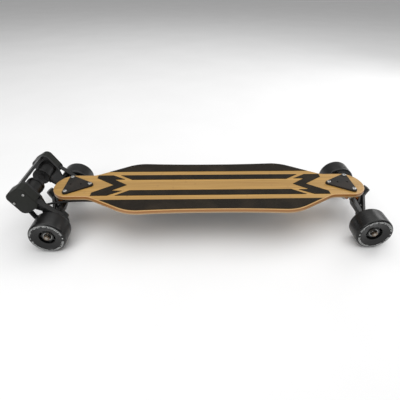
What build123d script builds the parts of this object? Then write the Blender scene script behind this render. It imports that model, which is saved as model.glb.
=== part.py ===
from build123d import *
import os
from math import cos, pi, radians, sin, sqrt

# Electric skateboard: a bamboo deck on two double-kingpin trucks, with a belt drive behind the rear one.
# Frame: +X towards the nose, +Y to the rider's left, +Z up. The origin is on the ground, below the middle
# of the bounding box. All values are millimetres.

os.makedirs("parts", exist_ok=True)

# ---------------------------------------------------------------- driving dimensions
wheel_r = 45
wheel_w = 52
wheel_in = 96                # inner face of a wheel, from the centre plane
wheelbase = 808

deck_top = 102
deck_t = 12
tip_mid = 376                # centre of each elliptical deck end
tip_rx, tip_ry = 44, 52
neck_x = 320                 # where the straight neck starts to flare
shoulder_x, shoulder_y = 210, 118
waist_y = 111

# Drive frame: u runs from the rear axle up and back along the belt cover, v runs square to it, forwards.
drive_angle = 59.3
motor_u, motor_v = 90.4, -8.7
cover_u, cover_v = 93, -10.75
cover_len, cover_wid, cover_corner = 66, 53.5, 14

# Steering: both kingpins of a truck lean outwards from bottom to top at this angle from the ground.
kingpin_angle = 55
inner_pin = -29              # inner kingpin's offset from the axle centre, square to the pins
outer_pin = 3                # the same for the outer kingpin (positive is towards the deck tip)

# ---------------------------------------------------------------- values that follow from them
uc, us = cos(radians(drive_angle)), sin(radians(drive_angle))
cover_reach = (
    cover_u * uc - cover_v * us
    + (cover_len / 2 - cover_corner) * uc + (cover_wid / 2 - cover_corner) * us + cover_corner
)
mid_x = (cover_reach - wheel_r) / 2      # deck centre, so that the bounding box is centred on X
front_x = mid_x + wheelbase / 2
rear_x = mid_x - wheelbase / 2
axle_z = wheel_r
deck_bottom = deck_top - deck_t
under_deck = deck_bottom - axle_z        # deck underside in a truck's own frame

kc, ks = cos(radians(kingpin_angle)), sin(radians(kingpin_angle))


# ---------------------------------------------------------------- helpers
def save(piece, name):
    """Label one finished piece and write its STEP file."""
    piece.label = name
    export_step(piece, f"parts/{name}.step")


def save_at_trucks(piece, name):
    """Place a piece drawn in the truck frame at the front truck, and turned round at the rear one."""
    save(Pos(front_x, 0, axle_z) * piece, f"front_{name}")
    save(Pos(rear_x, 0, axle_z) * Rot(0, 0, 180) * piece, f"rear_{name}")


def save_as_pair(piece, name):
    """Write both trucks' copies of a piece as one group of separate solids."""
    with BuildPart() as pair:
        add(Pos(front_x, 0, axle_z) * piece)
        add(Pos(rear_x, 0, axle_z) * Rot(0, 0, 180) * piece)
    save(pair.part, name)


def save_both_sides(piece, name):
    """Write a piece drawn on the right-hand side, and its mirror image on the left."""
    save(piece, f"right_{name}")
    save(mirror(piece, about=Plane.XZ), f"left_{name}")


def level(z):
    """Horizontal plane at a height, centred on the deck."""
    return Plane(origin=(mid_x, 0, z))


def pin_plane(s, p=0):
    """Plane square to the kingpins in a truck's frame, s along the pins and p across, towards the tip."""
    return Plane(
        origin=(s * kc + p * ks, 0, s * ks - p * kc), x_dir=(ks, 0, -kc), z_dir=(kc, 0, ks)
    )


def pin_point(s, p):
    """Station along and across the kingpins, as X and Z in a truck's frame."""
    return (s * kc + p * ks, s * ks - p * kc)


def pin_disc(start, end, radius, across, mode=Mode.ADD):
    """Round solid along a kingpin, between two stations along it."""
    with BuildSketch(pin_plane(start, across)) as ring:
        Circle(radius)
    extrude(ring.sketch, amount=end - start, mode=mode)


def pin_hex(start, end, flats, across):
    """Hexagon head or nut on a kingpin."""
    with BuildSketch(pin_plane(start, across)) as hexagon:
        RegularPolygon(flats / sqrt(3), 6, rotation=30)
    extrude(hexagon.sketch, amount=end - start)


def side_plane(y):
    """Upright plane at y, seen from the right: local x is X and local y is Z."""
    return Plane(origin=(0, y, 0), x_dir=(1, 0, 0), z_dir=(0, -1, 0))


def drive_plane(y):
    """Upright plane at y on the right of the rear axle, with local axes u and v."""
    return Plane(origin=(rear_x, y, axle_z), x_dir=(-uc, 0, us), z_dir=(0, 1, 0))


def round_bar(plane, start, end, radius, mode=Mode.ADD):
    """Round solid square to a plane, between two distances from it."""
    with BuildSketch(plane.offset(start)) as ring:
        Circle(radius)
    extrude(ring.sketch, amount=end - start, mode=mode)


def deck_outline(inset=0):
    """Deck outline, drawn in one quarter and mirrored: elliptical tip, straight neck, flare and waist."""
    with BuildSketch() as outline:
        with BuildLine():
            tip = EllipticalCenterArc((tip_mid, 0), tip_rx, tip_ry, start_angle=0, arc_size=90)
            neck = Line(tip @ 1, (neck_x, tip_ry))
            flare = Line(neck @ 1, (shoulder_x, shoulder_y))
            side = Line(flare @ 1, (shoulder_x - 40, shoulder_y - 2.5))
            ThreePointArc(side @ 1, (90, waist_y + 1), (0, waist_y))
            mirror(about=Plane.YZ)
            mirror(about=Plane.XZ)
        make_face()
        neck_corners = outline.vertices().filter_by(lambda v: abs(abs(v.X) - neck_x) < 0.1)
        fillet(neck_corners, 40)
        shoulders = outline.vertices().filter_by(lambda v: abs(abs(v.X) - shoulder_x) < 0.1)
        fillet(shoulders, 100)
        if inset:
            offset(amount=-inset, mode=Mode.REPLACE)
    return outline.sketch


# ---------------------------------------------------------------- truck plates: shared triangle
bolt_x_out, bolt_y_out = 380.4, 34.6     # two bolts near the tip
bolt_x_in = 324.6                        # one bolt on the centre line
bolt_spots = [(bolt_x_out, bolt_y_out), (bolt_x_out, -bolt_y_out), (bolt_x_in, 0)]
plate_corner = 8
top_plate_t = 5
base_plate_t = 6
bolt_hole_r = 3.25
spare_hole_r = 2.5
spare_holes = [(376.1, 0), (348.9, 0)]


def bolt_triangle(corner):
    """Triangle round the three bolts with rounded corners, in deck coordinates at the nose end."""
    with BuildSketch() as triangle:
        with Locations(*bolt_spots):
            Circle(corner)
        make_hull()
    return triangle.sketch


def both_ends():
    """Locations for a thing drawn at the nose end, repeated turned round at the tail."""
    return Locations(Location((0, 0, 0)), Location((0, 0, 0), (0, 0, 180)))


# ---------------------------------------------------------------- grip
grip_t = 1
outer_grip_y = 68.9
stripe_in, stripe_out = 25.8, 49.5
stripe_short, stripe_long = 215, 250     # stripe ends on its inner and outer edges
chevron_apex, chevron_notch = 226.6, 261.6
barb_root, barb_root_y = 263.4, 27       # each leg carries a barb that runs beside the stripe's end
barb_tip, barb_tip_y = 235.1, 28
chevron_leg_in, chevron_leg_out = 271, 313
leg_cut_y = 35.7                         # the end of a leg is cut square

with BuildPart() as grip_tape:
    with BuildSketch(level(deck_top)) as sides:
        add(deck_outline(inset=3.5))
        Rectangle(3 * tip_mid, 2 * outer_grip_y, mode=Mode.SUBTRACT)
    extrude(sides.sketch, amount=grip_t)
    with BuildSketch(level(deck_top)) as stripes:
        with BuildLine():
            Polyline(
                (0, stripe_in), (stripe_short, stripe_in), (stripe_long, stripe_out), (0, stripe_out)
            )
            mirror(about=Plane.YZ)
        make_face()
        mirror(about=Plane.XZ)
    extrude(stripes.sketch, amount=grip_t)
save(grip_tape.part, "grip_tape")

with BuildPart() as grip_chevrons:
    with BuildSketch(level(deck_top)):
        with BuildLine():
            Polyline(
                (chevron_apex, 0), (barb_root, barb_root_y), (barb_tip, barb_tip_y),
                (chevron_leg_in, stripe_out), (chevron_leg_out, stripe_out),
                (chevron_leg_out, leg_cut_y), (chevron_notch, 0),
            )
            mirror(about=Plane.XZ)
        make_face()
        mirror(about=Plane.YZ)
    extrude(amount=grip_t)
save(grip_chevrons.part, "grip_chevrons")

# ---------------------------------------------------------------- truck bolts and top plates
with BuildPart() as top_plate:
    with BuildSketch(Plane(origin=(-wheelbase / 2, 0, under_deck + deck_t))):
        add(bolt_triangle(plate_corner))
        with Locations(*bolt_spots):
            Circle(bolt_hole_r, mode=Mode.SUBTRACT)
        with Locations(*spare_holes):
            Circle(spare_hole_r, mode=Mode.SUBTRACT)
    extrude(amount=top_plate_t)
    chamfer(top_plate.faces().sort_by(Axis.Z)[-1].outer_wire().edges(), 0.8)
save_at_trucks(top_plate.part, "top_plate")

bolt_bottom = deck_bottom - base_plate_t - 8
bolt_head_t = 3.3
with BuildPart() as truck_bolts:
    for start, height, radius in (
        (bolt_bottom, deck_top + top_plate_t - bolt_bottom, 3),
        (deck_top + top_plate_t, bolt_head_t, 5.5),
    ):
        with BuildSketch(level(start)) as round_part:
            with both_ends():
                with Locations(*bolt_spots):
                    Circle(radius)
        extrude(round_part.sketch, amount=height)
    fillet(truck_bolts.faces().group_by(Axis.Z)[-1].edges(), 2)
    with BuildSketch(level(deck_top + top_plate_t + bolt_head_t)) as sockets:
        with both_ends():
            with Locations(*bolt_spots):
                RegularPolygon(2.3, 6)
    extrude(sockets.sketch, amount=-2, mode=Mode.SUBTRACT)
    nut_base = deck_bottom - base_plate_t - 6
    with BuildSketch(level(nut_base)) as nuts:
        with both_ends():
            with Locations(*bolt_spots):
                RegularPolygon(5.77, 6)
    extrude(nuts.sketch, amount=6)
save(truck_bolts.part, "truck_bolts")

# ---------------------------------------------------------------- baseplate, under the deck
pin_r = 5
pin_hole_r = 5.05
seat_s = 20                              # seat of the inner kingpin's upper bushing
boss_r = 13.5

with BuildPart() as baseplate:
    with BuildSketch(Plane(origin=(-wheelbase / 2, 0, under_deck - base_plate_t))):
        add(bolt_triangle(plate_corner - 1))
    extrude(amount=base_plate_t)
    pin_disc(seat_s, 60, boss_r, inner_pin)
    rib_root = pin_plane(seat_s + 3, inner_pin - boss_r + 4).origin
    with BuildSketch(side_plane(0)):
        with BuildLine():
            Polyline(
                (rib_root.X, rib_root.Z), (-70, under_deck - base_plate_t),
                (-20, under_deck - 1), (rib_root.X + 12, under_deck - 1), close=True,
            )
        make_face()
    extrude(amount=5, both=True)
    with BuildSketch(Plane(origin=(0, 0, under_deck))):
        Rectangle(400, 200)
    extrude(amount=60, mode=Mode.SUBTRACT)
    pin_disc(-20, seat_s, boss_r + 3, inner_pin, mode=Mode.SUBTRACT)
    pin_disc(0, 60, pin_r, inner_pin, mode=Mode.SUBTRACT)
    with BuildSketch(Plane(origin=(-wheelbase / 2, 0, under_deck))):
        with Locations(*bolt_spots):
            Circle(bolt_hole_r)
    extrude(amount=-2 * base_plate_t, mode=Mode.SUBTRACT)
save_at_trucks(baseplate.part, "baseplate")

# ---------------------------------------------------------------- kingpins, bushings and links
link_low, link_high = 4, 12              # faces of the link plate
gap = 0.3                                # clearance between faces that turn on each other
bushing_r = 13.5
boss_low, boss_high = 24, 54             # hanger's boss, above the link
boss_foot_r, boss_tip_r = 15, 10         # the boss is a cone

with BuildPart() as inner_kingpin:
    pin_disc(-8, 30, pin_r, inner_pin)
    pin_hex(-8, -3.2, 17, inner_pin)
    pin_disc(-3.2, -2, 12.5, inner_pin)
    fillet(inner_kingpin.faces().sort_by(Axis.Z)[0].edges(), 0.5)
save_as_pair(inner_kingpin.part, "inner_kingpins")

with BuildPart() as inner_bushings:
    pin_disc(link_high + gap, seat_s, bushing_r, inner_pin)
    pin_disc(-2, link_low - gap, bushing_r, inner_pin)
    fillet(inner_bushings.edges().filter_by(GeomType.CIRCLE), 1.5)
    pin_disc(-20, 40, pin_r, inner_pin, mode=Mode.SUBTRACT)
save_as_pair(inner_bushings.part, "inner_bushings")

with BuildPart() as link:
    with BuildSketch(pin_plane(link_low)):
        with Locations((inner_pin, 0), (outer_pin, 0)):
            Circle(bushing_r)
        make_hull()
        with Locations((inner_pin, 0), (outer_pin, 0)):
            Circle(pin_hole_r, mode=Mode.SUBTRACT)
    extrude(amount=link_high - link_low)
    outside = link.faces().group_by(Axis((0, 0, 0), (kc, 0, ks)))
    chamfer(outside[-1].sort_by(SortBy.AREA)[-1].outer_wire().edges(), 1)
    chamfer(outside[0].sort_by(SortBy.AREA)[-1].outer_wire().edges(), 1)
save_at_trucks(link.part, "link")

head_r, head_depth = 7.5, 7              # the outer kingpin's socket head sits in a pocket in the boss
with BuildPart() as outer_kingpin:
    pin_disc(link_low - 6, boss_high - head_depth, pin_r, outer_pin)
    pin_hex(link_low - 6, link_low - 1.3, 15, outer_pin)
    pin_disc(link_low - 1.3, link_low - gap, 9, outer_pin)
    pin_disc(boss_high - head_depth, boss_high - 1, head_r, outer_pin)
    with BuildSketch(pin_plane(boss_high - 1, outer_pin)) as socket:
        RegularPolygon(4.6, 6)
    extrude(socket.sketch, amount=-4, mode=Mode.SUBTRACT)
save_at_trucks(outer_kingpin.part, "outer_kingpin")

with BuildPart() as outer_bushing:
    pin_disc(link_high + gap, boss_low, bushing_r, outer_pin)
    fillet(outer_bushing.edges().filter_by(GeomType.CIRCLE), 1.5)
    pin_disc(link_low, boss_high, pin_r, outer_pin, mode=Mode.SUBTRACT)
save_at_trucks(outer_bushing.part, "outer_bushing")

# ---------------------------------------------------------------- hanger
tube_r = 12
tube_in, tube_out = 58, 93
spigot_r, spigot_out = 6.5, 103.4
stub_r = 4
window_half = 21                         # half width of the gap that the link swings in
# corners of the arm's section, as stations along and across the kingpins: at the window and at the tube
arm_root = [(7, -29), (16, -14), (16, -4), (6, 7), (-6, 7), (-5, -11)]
arm_end = [(4, -10), (9, -5), (9, 3), (4, 8), (-6, 7), (-7, -5)]

with BuildPart() as hanger:
    round_bar(side_plane(0), tube_in, tube_out, tube_r)
    round_bar(side_plane(0), tube_out, spigot_out, spigot_r)
    # arm, from the window that the link swings in out to the tube
    with BuildSketch(side_plane(-window_half)):
        Polygon(*[pin_point(s, p) for s, p in arm_root], align=None)
    with BuildSketch(side_plane(-tube_out + 8)):
        Polygon(*[pin_point(s, p) for s, p in arm_end], align=None)
    loft()
    # outer strut, from the upper boss down to the end of the tube
    strut_root = pin_point(boss_low + 9, outer_pin + 2)
    with BuildSketch(side_plane(-8)):
        with Locations(strut_root):
            RectangleRounded(9, 16, 3)
    with BuildSketch(side_plane(-86)):
        with Locations((-3, 6)):
            RectangleRounded(8, 12, 3)
    loft()
    # shoulder, from the boss down to the arm
    with BuildSketch(side_plane(-6)):
        with Locations(pin_point(boss_low + 7, outer_pin - 1)):
            RectangleRounded(14, 14, 4)
    with BuildSketch(side_plane(-40)):
        with Locations(pin_point(3, -1)):
            RectangleRounded(14, 14, 4)
    loft()
    mirror(about=Plane.XZ)
    with BuildSketch(pin_plane(boss_low, outer_pin)):
        Circle(boss_foot_r)
    with BuildSketch(pin_plane(boss_high, outer_pin)):
        Circle(boss_tip_r)
    loft()
    pin_disc(boss_high - head_depth, boss_high + 1, head_r + 0.3, outer_pin, mode=Mode.SUBTRACT)
    # window that the link swings in, and the outer kingpin's hole
    with BuildSketch(pin_plane(-20, -10)) as window:
        Rectangle(90, 2 * window_half)
    extrude(window.sketch, amount=boss_low + 20, mode=Mode.SUBTRACT)
    pin_disc(boss_low - 1, boss_high, pin_r, outer_pin, mode=Mode.SUBTRACT)
    round_bar(side_plane(0), window_half, spigot_out, stub_r, mode=Mode.SUBTRACT)
    round_bar(side_plane(0), -window_half, -spigot_out, stub_r, mode=Mode.SUBTRACT)
save_at_trucks(hanger.part, "hanger")

with BuildPart() as axle:
    round_bar(side_plane(0), window_half + 4, 147.5, stub_r)
    chamfer(axle.faces().sort_by(Axis.Y)[0].edges(), 0.6)
    mirror(about=Plane.XZ)
save_at_trucks(axle.part, "axle")

bearing_in, bearing_out = wheel_in + 8, wheel_in + 44    # outer faces of a wheel's two bearings
nut_seat = bearing_out + 0.8
with BuildPart() as axle_nuts:
    round_bar(side_plane(0), bearing_out + gap, nut_seat, 5.5)
    round_bar(side_plane(0), spigot_out, bearing_in - gap, 5.5)
    with BuildSketch(side_plane(0).offset(nut_seat)) as nut:
        RegularPolygon(13 / sqrt(3), 6)
    extrude(nut.sketch, amount=5.5)
    round_bar(side_plane(0), nut_seat + 5.5, nut_seat + 6.5, 5.2)
    round_bar(side_plane(0), wheel_in, wheel_in + wheel_w, stub_r, mode=Mode.SUBTRACT)
    mirror(about=Plane.XZ)
save_at_trucks(axle_nuts.part, "axle_nuts")

# ---------------------------------------------------------------- wheels
core_r = 26
core_open_r = 20
hub_r = 14.5
seat_r = 11                              # 608 bearing, 22 mm outside
bearing_w = 7
running_r = 4.05
core_in, core_out = 8, 44                # core faces, from the wheel's inner face
spokes = 8


def wheel_profile(points, fillet_radius=0.0):
    """Section of a turned wheel piece from (radius, distance from the inner face) points."""
    with BuildSketch() as section:
        with BuildLine():
            Polyline(*points, close=True)
        make_face()
        if fillet_radius:
            rim = section.vertices().filter_by(lambda v: v.X > wheel_r - 0.1)
            fillet(rim, fillet_radius)
    return section.sketch


with BuildPart() as tyre:
    add(
        wheel_profile(
            [
                (core_open_r, 3.5), (34, 0.8), (35.5, 0), (wheel_r, 0), (wheel_r, wheel_w),
                (35.5, wheel_w), (34, wheel_w - 0.8), (core_open_r, wheel_w - 5),
                (core_open_r, core_out), (core_r, core_out), (core_r, core_in), (core_open_r, core_in),
            ],
            fillet_radius=6,
        )
    )
    revolve(axis=Axis.Y)

with BuildPart() as core:
    add(
        wheel_profile(
            [(core_open_r, core_in), (core_r, core_in), (core_r, core_out), (core_open_r, core_out)]
        )
    )
    revolve(axis=Axis.Y)
    add(
        wheel_profile(
            [
                (seat_r, core_in), (hub_r, core_in), (hub_r, core_out), (seat_r, core_out),
                (seat_r, core_out - bearing_w), (seat_r - 2, core_out - bearing_w),
                (seat_r - 2, core_in + bearing_w), (seat_r, core_in + bearing_w),
            ]
        )
    )
    revolve(axis=Axis.Y)
    spoke_len = core_open_r - hub_r + 1.5
    with BuildSketch(Plane(origin=(0, core_in + 3, 0), x_dir=(1, 0, 0), z_dir=(0, 1, 0))) as webs:
        with PolarLocations((core_open_r + hub_r) / 2, spokes):
            Rectangle(spoke_len, 4)
    extrude(webs.sketch, amount=core_out - core_in - 6)

with BuildPart() as bearings:
    for face in (core_in, core_out - bearing_w):
        ends = (face, face + bearing_w)
        add(
            wheel_profile(
                [
                    (running_r, ends[0]), (6, ends[0]), (6.3, ends[0] + 0.5), (9, ends[0] + 0.5),
                    (9.3, ends[0]), (seat_r, ends[0]), (seat_r, ends[1]), (9.3, ends[1]),
                    (9, ends[1] - 0.5), (6.3, ends[1] - 0.5), (6, ends[1]), (running_r, ends[1]),
                ]
            )
        )
        revolve(axis=Axis.Y)

for end, wheel_x in (("front", front_x), ("rear", rear_x)):
    for side, turn in (("left", 0), ("right", 180)):
        place = Pos(wheel_x, 0, axle_z) * Rot(0, 0, turn) * Pos(0, wheel_in, 0)
        save(place * tyre.part, f"{end}_{side}_tyre")
        save(place * core.part, f"{end}_{side}_core")
        save(place * bearings.part, f"{end}_{side}_bearings")

# ---------------------------------------------------------------- belt drive (drawn on the right, at -Y)
belt_pitch = 5
tooth_r = 1.5
wheel_teeth, motor_teeth = 40, 17
wheel_pulley_r = wheel_teeth * belt_pitch / (2 * pi) - 0.57
motor_pulley_r = motor_teeth * belt_pitch / (2 * pi) - 0.57
wheel_flange_r = wheel_pulley_r + 2
motor_flange_r = motor_pulley_r + 2
belt_gap = 0.3
belt_t = 1.7
belt_in, belt_w = 77.8, 15
mount_in, mount_t = 64, 6
mount_out = mount_in + mount_t
cover_out = 96.5
cover_wall = 2.5
screw_spots = [(105, 7), (98.7, -29.5)]  # cover screws in the drive plane
screw_post_r = 3.5
motor_spot = (motor_u, motor_v)
cover_spot = (cover_u, cover_v)
clamp_r = 24                             # outside of the mount's clamp, which is shaped to the hanger


def pulley(teeth, radius, flange_r, bore, length, at):
    """Toothed pulley standing on the drive plane at y = -length[0]: teeth, grooves and an inboard flange."""
    start, end = length
    with BuildSketch(drive_plane(-end)) as blank:
        with Locations(at):
            Circle(radius)
            with PolarLocations(radius + 0.35, teeth):
                Circle(tooth_r, mode=Mode.SUBTRACT)
    extrude(blank.sketch, amount=end - start)
    with BuildSketch(drive_plane(-start)) as flange:
        with Locations(at):
            Circle(flange_r)
    extrude(flange.sketch, amount=1.5)
    if bore:
        with BuildSketch(drive_plane(-end)) as hole:
            with Locations(at):
                Circle(bore)
        extrude(hole.sketch, amount=60, mode=Mode.SUBTRACT)


pulley_bore_r = 19                       # clears the hanger's end, which tapers inside the pulley
with BuildPart() as wheel_pulley:
    pulley(wheel_teeth, wheel_pulley_r, wheel_flange_r, 0, (77.5, 94), (0, 0))
    with BuildSketch(drive_plane(-wheel_in)) as outer_flange:
        Circle(wheel_flange_r)
    extrude(outer_flange.sketch, amount=2)
    peg_in = wheel_in + 10
    with BuildSketch(drive_plane(-peg_in)) as pegs:
        with PolarLocations((core_open_r + hub_r) / 2, 4, start_angle=180 - drive_angle - 22.5):
            Circle(2.2)
    extrude(pegs.sketch, amount=peg_in - wheel_in)
    for depth, radius in ((40, tube_r + 1), (40 - 6, pulley_bore_r)):
        with BuildSketch(drive_plane(-wheel_in + 40 - depth)) as bore:
            Circle(radius)
        extrude(bore.sketch, amount=depth, mode=Mode.SUBTRACT)
save_both_sides(wheel_pulley.part, "wheel_pulley")

shaft_r = 4
with BuildPart() as motor_pulley:
    pulley(motor_teeth, motor_pulley_r, motor_flange_r, shaft_r, (77.5, 93.3), motor_spot)
save_both_sides(motor_pulley.part, "motor_pulley")

with BuildPart() as belt:
    with BuildSketch(drive_plane(-belt_in - belt_w)) as band:
        Circle(wheel_pulley_r + belt_gap + belt_t)
        with Locations(motor_spot):
            Circle(motor_pulley_r + belt_gap + belt_t)
        make_hull()
    extrude(band.sketch, amount=belt_w)
    with BuildSketch(drive_plane(-belt_in - belt_w)) as inside:
        Circle(wheel_pulley_r + belt_gap)
        with Locations(motor_spot):
            Circle(motor_pulley_r + belt_gap)
        make_hull()
    extrude(inside.sketch, amount=belt_w, mode=Mode.SUBTRACT)
save_both_sides(belt.part, "belt")

motor_cap_r, barrel_r = 22.3, 21
motor_in = 18
cap_len, collar_len = 10, 6
cavity_r = 19.5
# corners of the mount's arm, from the clamp on the hanger to the plate behind the cover
arm_corners = [
    (8, -21), (30, -19), (38, -14.5), (51, -24), (64, -26), (64, 13), (50, 8), (28, 14), (8, 21),
]
clamp_spots = [(13, 20.6), (-8, 21.6)]  # screws through the clamp's two ears
ear_r = 6
with BuildPart() as motor_mount:
    with BuildSketch(drive_plane(-mount_out)):
        Polygon(*arm_corners, align=None)
        with Locations(cover_spot):
            RectangleRounded(cover_len, cover_wid, cover_corner)
        with Locations(motor_spot):
            Circle(motor_cap_r)
            Circle(6, mode=Mode.SUBTRACT)
    extrude(amount=mount_t)
    with BuildSketch(drive_plane(-mount_out)) as clamp:
        Circle(clamp_r)
        with Locations(*clamp_spots):
            Circle(ear_r)
        make_hull()
    extrude(clamp.sketch, amount=mount_t + 4)
    with BuildSketch(drive_plane(-mount_out)) as clamp_holes:
        with Locations(*clamp_spots):
            Circle(2)
    extrude(clamp_holes.sketch, amount=mount_t + 4, mode=Mode.SUBTRACT)
    with BuildSketch(drive_plane(-cover_out + cover_wall)) as posts:
        with Locations(*screw_spots):
            Circle(screw_post_r)
            Circle(1.6, mode=Mode.SUBTRACT)
    extrude(posts.sketch, amount=cover_out - cover_wall - mount_out)
    with BuildSketch(drive_plane(-mount_out)) as tube_hole:
        Circle(tube_r)
    extrude(tube_hole.sketch, amount=mount_t + 4, mode=Mode.SUBTRACT)
    add(Pos(rear_x, 0, axle_z) * Rot(0, 0, 180) * hanger.part, mode=Mode.SUBTRACT)
save_both_sides(motor_mount.part, "motor_mount")

with BuildPart() as belt_cover:
    with BuildSketch(drive_plane(-cover_out)):
        with Locations(cover_spot):
            RectangleRounded(cover_len, cover_wid, cover_corner)
    extrude(amount=cover_out - mount_out)
    fillet(belt_cover.faces().sort_by(Axis.Y)[0].edges(), 2)
    with BuildSketch(drive_plane(-cover_out + cover_wall)):
        with Locations(cover_spot):
            RectangleRounded(
                cover_len - 2 * cover_wall, cover_wid - 2 * cover_wall, cover_corner - cover_wall
            )
    extrude(amount=60, mode=Mode.SUBTRACT)
    # mouth where the belt and the mount arm enter
    with BuildSketch(drive_plane(-cover_out + cover_wall)):
        with Locations((cover_u - cover_len / 2, -4)):
            Rectangle(32, 51)
    extrude(amount=60, mode=Mode.SUBTRACT)
    with BuildSketch(drive_plane(-cover_out)):
        with Locations(*screw_spots):
            Circle(1.6)
    extrude(amount=10, mode=Mode.SUBTRACT)
save_both_sides(belt_cover.part, "belt_cover")


def motor_disc(start, end, radius, mode=Mode.ADD):
    """Round solid on the right motor's axis, between two distances from the centre plane."""
    with BuildSketch(drive_plane(-end)) as disc:
        with Locations(motor_spot):
            Circle(radius)
    extrude(disc.sketch, amount=end - start, mode=mode)


with BuildPart() as motor:
    motor_disc(motor_in, motor_in + cap_len, motor_cap_r)
    motor_disc(motor_in + cap_len, mount_in - collar_len, barrel_r)
    motor_disc(mount_in - collar_len, mount_in, motor_cap_r)
    fillet(motor.faces().sort_by(Axis.Y)[-1].edges(), 1.5)
    motor_disc(motor_in + 4, mount_in - 4, cavity_r, mode=Mode.SUBTRACT)
    motor_disc(motor_in + 2, mount_in, shaft_r + 0.3, mode=Mode.SUBTRACT)

with BuildPart() as rotor:
    motor_disc(motor_in + 6, mount_in - 6, 17.5)
    motor_disc(motor_in + 2.5, 93.3, shaft_r)
save_both_sides(rotor.part, "rotor")

# ---------------------------------------------------------------- brace bar and drive screws
brace_u, brace_v = cover_u + cover_len / 2 - cover_wall, -4
with BuildPart() as brace_bar:
    with BuildSketch(drive_plane(-mount_in)):
        with Locations((brace_u - 1.5, brace_v)):
            RectangleRounded(7, 14, 1.5)
    extrude(amount=2 * mount_in)
save(brace_bar.part, "brace_bar")

with BuildPart() as drive_screws:
    with BuildSketch(drive_plane(-cover_out - 2)) as heads:
        with Locations(*screw_spots):
            Circle(3)
    extrude(heads.sketch, amount=2)
    with BuildSketch(drive_plane(-cover_out)) as shanks:
        with Locations(*screw_spots):
            Circle(1.6)
    extrude(shanks.sketch, amount=12)
    fillet(drive_screws.faces().group_by(Axis.Y)[0].edges(), 1)
    with BuildSketch(drive_plane(-cover_out - 2)) as cover_sockets:
        with Locations(*screw_spots):
            RegularPolygon(1.6, 6)
    extrude(cover_sockets.sketch, amount=1.3, mode=Mode.SUBTRACT)
    # clamp screws: a head on the mount's outer face and a shank through it
    for height, length, radius in ((3, 3, 3.6), (3, mount_t + 6, 2)):
        with BuildSketch(drive_plane(-mount_out - height)) as clamp_screw:
            with Locations(*clamp_spots):
                Circle(radius)
        extrude(clamp_screw.sketch, amount=length)
    with BuildSketch(drive_plane(-mount_out - 3)) as clamp_sockets:
        with Locations(*clamp_spots):
            RegularPolygon(2, 6)
    extrude(clamp_sockets.sketch, amount=2, mode=Mode.SUBTRACT)
    mirror(about=Plane.XZ)
save(drive_screws.part, "drive_screws")

# ---------------------------------------------------------------- enclosure under the deck
box_len, box_half = 470, 72
box_depth = 26
box_wall = 3
lip = 8
gasket_t = 1.5
box_top = deck_bottom - gasket_t
box_bottom = box_top - box_depth
box_floor = box_bottom + box_wall
groove_pitch, groove_w, groove_depth = 26, 5, 1
lip_t = 4
gland_y, gland_z, gland_r, gland_len = 46, 74, 7, 7
left_cable_r, right_cable_r = 4.5, 3
button_x, button_z, button_r = -190, 77.5, 6
port_x, port_z, port_r = -160, 77, 5
box_screws = [(x, y) for x in (-220, -110, 0, 110, 220) for y in (-76, 76)]
box_screws += [(x, y) for x in (-239, 239) for y in (-25, 25)]


def wall_plane(y):
    """Upright plane at y with the deck centre as its origin: local x is X and local y is Z."""
    return Plane(origin=(mid_x, y, 0), x_dir=(1, 0, 0), z_dir=(0, -1, 0))


def wall_disc(start, end, x, z, radius, mode=Mode.ADD):
    """Round solid through a side wall of the enclosure, between two values of y."""
    with BuildSketch(wall_plane(start)) as ring:
        with Locations((x, z)):
            Circle(radius)
    extrude(ring.sketch, amount=start - end, mode=mode)


with BuildPart() as enclosure:
    with BuildSketch(level(box_bottom)):
        RectangleRounded(box_len, 2 * box_half, 16)
    extrude(amount=box_depth)
    fillet(enclosure.faces().sort_by(Axis.Z)[0].edges(), 8)
    with BuildSketch(level(box_top - lip_t)):
        RectangleRounded(box_len + 2 * lip, 2 * (box_half + lip), 20)
    extrude(amount=lip_t)
    tail_wall = Plane(origin=(mid_x - box_len / 2, 0, 0), x_dir=(0, 1, 0), z_dir=(-1, 0, 0))
    with BuildSketch(tail_wall.offset(-box_wall)) as glands:
        with Locations((gland_y, -gland_z), (-gland_y, -gland_z)):
            Circle(gland_r)
    extrude(glands.sketch, amount=gland_len + box_wall)
    with BuildSketch(level(box_floor)):
        RectangleRounded(box_len - 2 * box_wall, 2 * (box_half - box_wall), 13)
    extrude(amount=box_depth, mode=Mode.SUBTRACT)
    # shallow grooves along the underside
    with BuildSketch(level(box_bottom)) as grooves:
        with GridLocations(0, groove_pitch, 1, 4):
            SlotOverall(box_len - 70, groove_w)
    extrude(grooves.sketch, amount=groove_depth, mode=Mode.SUBTRACT)
    with BuildSketch(tail_wall.offset(-2 * box_wall)) as cable_holes:
        with Locations((gland_y, -gland_z)):
            Circle(left_cable_r + gap)
        with Locations((-gland_y, -gland_z)):
            Circle(right_cable_r + gap)
    extrude(cable_holes.sketch, amount=gland_len + 3 * box_wall, mode=Mode.SUBTRACT)
    wall_disc(-box_half - 1, -box_half + 5, button_x, button_z, button_r + gap, mode=Mode.SUBTRACT)
    wall_disc(box_half + 1, box_half - 5, port_x, port_z, port_r, mode=Mode.SUBTRACT)
    with BuildSketch(level(box_top - lip_t)) as screw_holes:
        with Locations(*box_screws):
            Circle(2)
    extrude(screw_holes.sketch, amount=lip_t, mode=Mode.SUBTRACT)
save(enclosure.part, "enclosure")

with BuildPart() as gasket:
    with BuildSketch(level(box_top)):
        RectangleRounded(box_len + 2 * lip, 2 * (box_half + lip), 20)
        RectangleRounded(box_len - 2 * box_wall, 2 * (box_half - box_wall), 13, mode=Mode.SUBTRACT)
        with Locations(*box_screws):
            Circle(2, mode=Mode.SUBTRACT)
    extrude(amount=gasket_t)
save(gasket.part, "enclosure_gasket")

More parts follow.
